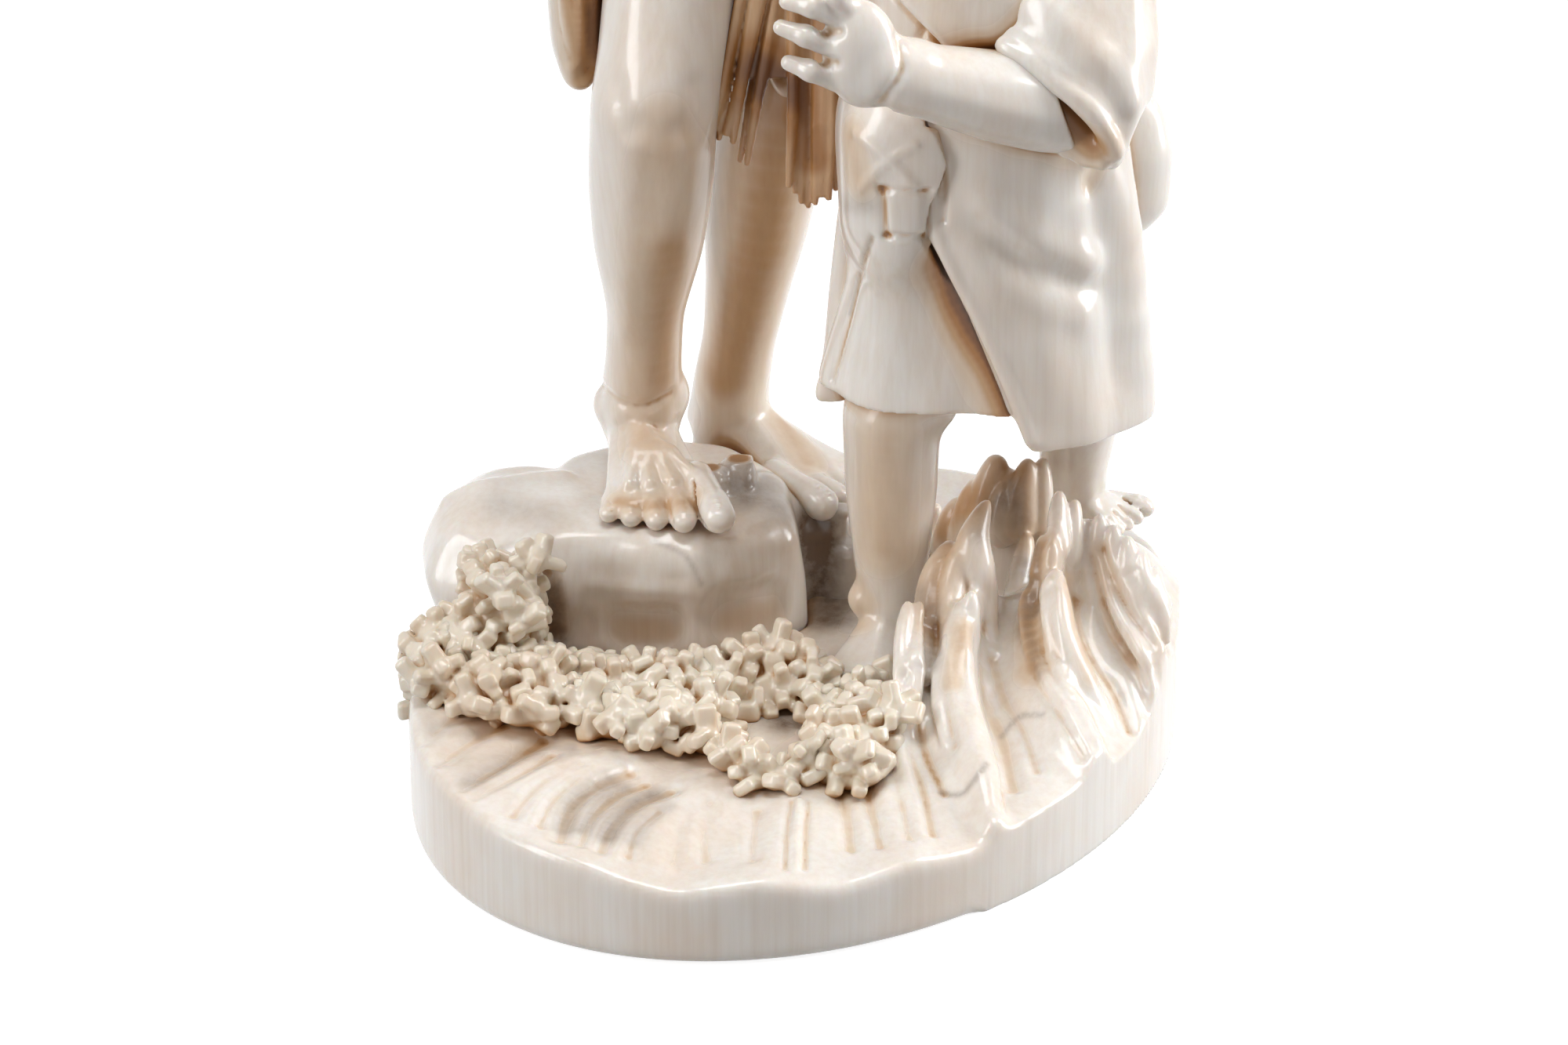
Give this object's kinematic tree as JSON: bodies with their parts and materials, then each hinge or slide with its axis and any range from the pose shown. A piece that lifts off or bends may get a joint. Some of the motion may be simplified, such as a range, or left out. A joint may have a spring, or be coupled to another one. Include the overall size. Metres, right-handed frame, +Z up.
{
  "type": "okimono carving",
  "caption": "Polished ivory-coloured okimono of a fisherman stepping up on a boulder in a rough sea, with a child in an open robe beside him.",
  "frame": {"origin": "centre of the plinth's underside, under the whole carving", "axes": "+Z up, -Y towards the viewer of the picture, +X to the viewer's right (the child's side)"},
  "size_m": [0.1119, 0.1234, 0.2541],
  "materials": {
    "ivory_base": "polished, grain streaks and amber stain in the furrows",
    "ivory_foam": "polished, cut in small nubs",
    "ivory_straw": "polished, stained amber",
    "ivory_hair": "fine parallel cuts",
    "ivory_pegs": "plain, unpolished",
    "ivory_skin": "polished",
    "ivory_cloth": "polished, engraved seams"
  },
  "bodies": {
    "root": {"wave_base": "ivory_base", "boulder": "ivory_base", "foam_left": "ivory_foam", "foam_rising": "ivory_foam", "foam_front": "ivory_foam", "foam_ring": "ivory_foam", "foam_right": "ivory_foam", "adult_right_leg": "ivory_skin", "adult_left_leg": "ivory_skin", "adult_robe": "ivory_cloth", "straw_skirt": "ivory_straw", "adult_jacket": "ivory_cloth", "adult_right_sleeve": "ivory_cloth", "adult_left_sleeve": "ivory_cloth", "adult_right_hand": "ivory_skin", "adult_left_hand": "ivory_skin", "adult_head": "ivory_skin", "adult_hair": "ivory_hair", "child_front_leg": "ivory_skin", "child_rear_leg": "ivory_skin", "child_kimono": "ivory_cloth", "child_coat": "ivory_cloth", "child_bow": "ivory_cloth", "child_left_sleeve": "ivory_cloth", "child_right_sleeve": "ivory_cloth", "child_left_arm": "ivory_skin", "child_right_hand": "ivory_skin", "child_head": "ivory_skin", "child_hair": "ivory_hair", "foot_pegs": "ivory_pegs", "joint_pegs": "ivory_pegs"}
  },
  "joints": []
}
